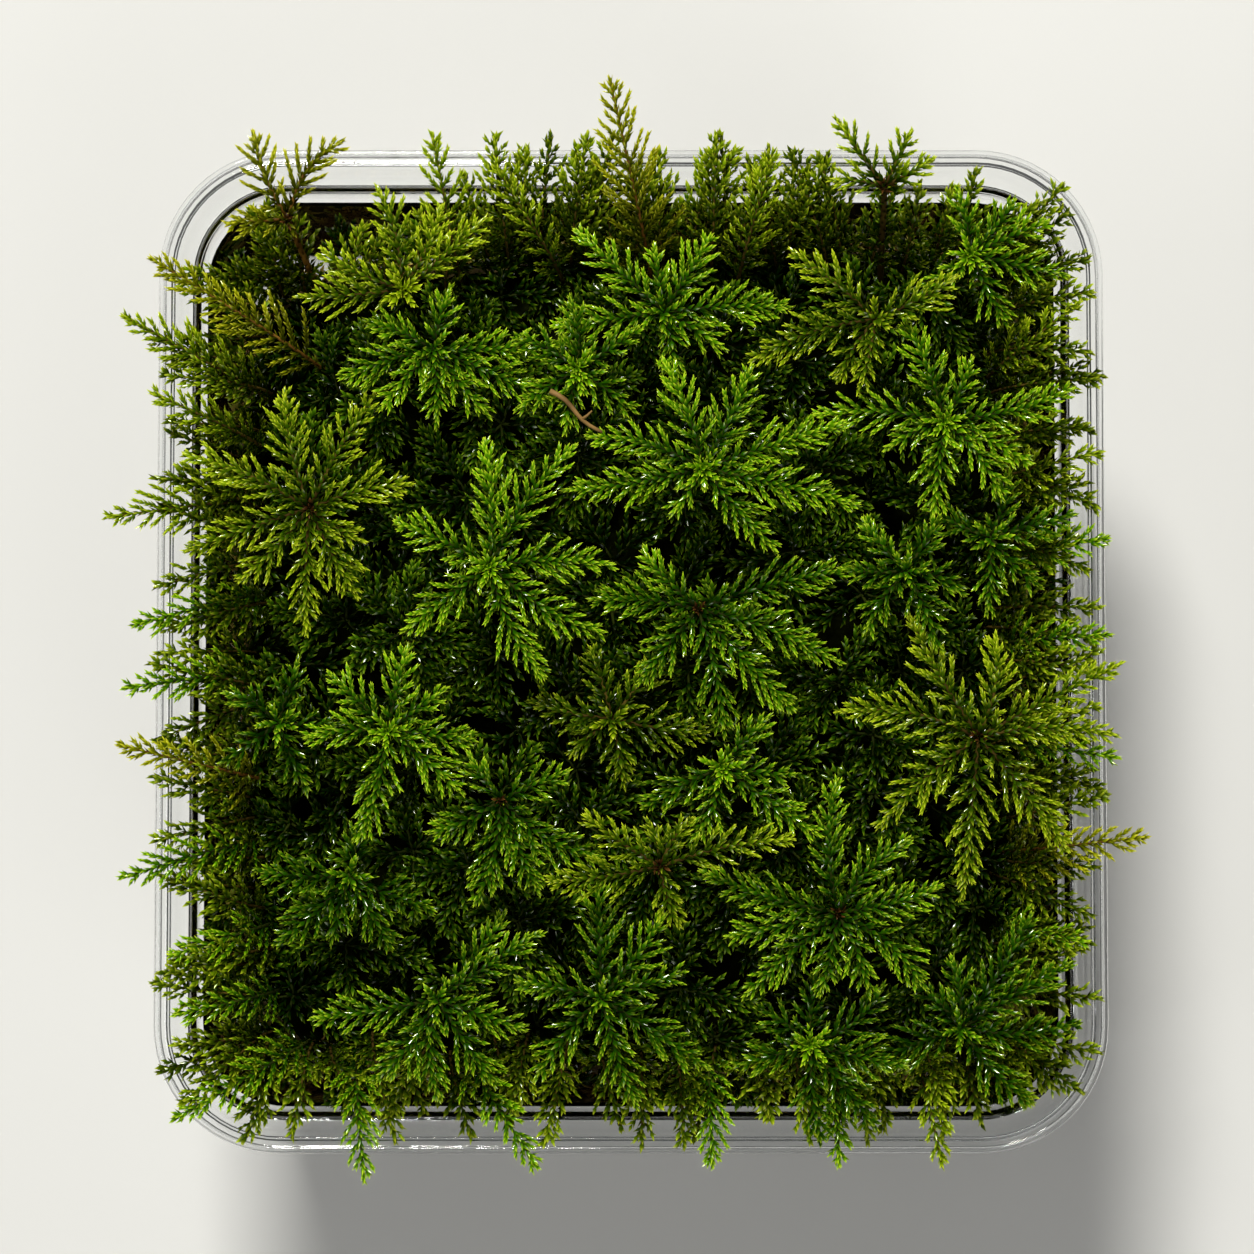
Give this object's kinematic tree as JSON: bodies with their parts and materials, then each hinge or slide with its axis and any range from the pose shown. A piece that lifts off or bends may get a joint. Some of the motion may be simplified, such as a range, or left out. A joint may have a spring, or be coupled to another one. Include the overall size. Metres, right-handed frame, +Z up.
{
  "type": "moss clump in a clear tray",
  "caption": "Dense clump of tree moss with star-shaped, feathery shoots, growing in a clear square plastic tray with a stepped rim.",
  "frame": {"origin": "middle of the tray's flat underside", "axes": "+Z up, out of the tray; +Y towards the back, the top edge of the reference view; +X to the right"},
  "size_m": [0.1304, 0.1376, 0.0732],
  "materials": {
    "clear_plastic": "clear, glossy, thin thermoformed plastic",
    "old_growth": "matt, fibrous dark brown packed stems",
    "green_moss": "saturated green leaves with a soft gloss and yellow-green tips",
    "olive_moss": "olive-yellow leaves with a soft gloss and pale tips",
    "amber_moss": "olive leaves on an amber-brown axis"
  },
  "bodies": {
    "root": {"clear_tray": "clear_plastic", "old_growth": "old_growth", "star_shoot_01": "green_moss", "star_shoot_02": "green_moss", "star_shoot_03": "olive_moss", "star_shoot_04": "green_moss", "star_shoot_05": "olive_moss", "star_shoot_06": "green_moss", "star_shoot_07": "green_moss", "star_shoot_08": "green_moss", "star_shoot_09": "green_moss", "star_shoot_10": "green_moss", "star_shoot_11": "green_moss", "star_shoot_12": "amber_moss", "star_shoot_13": "olive_moss", "star_shoot_14": "green_moss", "star_shoot_15": "olive_moss", "star_shoot_16": "olive_moss", "star_shoot_17": "green_moss", "star_shoot_18": "green_moss", "star_shoot_19": "green_moss", "star_shoot_20": "green_moss", "star_shoot_21": "olive_moss", "star_shoot_22": "green_moss", "star_shoot_23": "olive_moss", "star_shoot_24": "green_moss", "star_shoot_25": "green_moss", "star_shoot_26": "green_moss", "star_shoot_27": "green_moss", "star_shoot_28": "green_moss", "edge_frond_01": "amber_moss", "edge_frond_02": "olive_moss", "edge_frond_03": "olive_moss", "edge_frond_04": "olive_moss", "edge_frond_05": "green_moss", "edge_frond_06": "green_moss", "edge_frond_07": "amber_moss", "edge_frond_08": "green_moss", "edge_frond_09": "green_moss", "edge_frond_10": "green_moss", "edge_frond_11": "green_moss", "edge_frond_12": "olive_moss", "edge_frond_13": "olive_moss", "edge_frond_14": "amber_moss", "edge_frond_15": "olive_moss", "edge_frond_16": "olive_moss", "edge_frond_17": "olive_moss", "edge_frond_18": "green_moss", "edge_frond_19": "green_moss", "edge_frond_20": "green_moss", "edge_frond_21": "amber_moss", "edge_frond_22": "green_moss", "edge_frond_23": "green_moss", "edge_frond_24": "green_moss", "edge_frond_25": "green_moss", "edge_frond_26": "green_moss", "edge_frond_27": "olive_moss"}
  },
  "joints": []
}
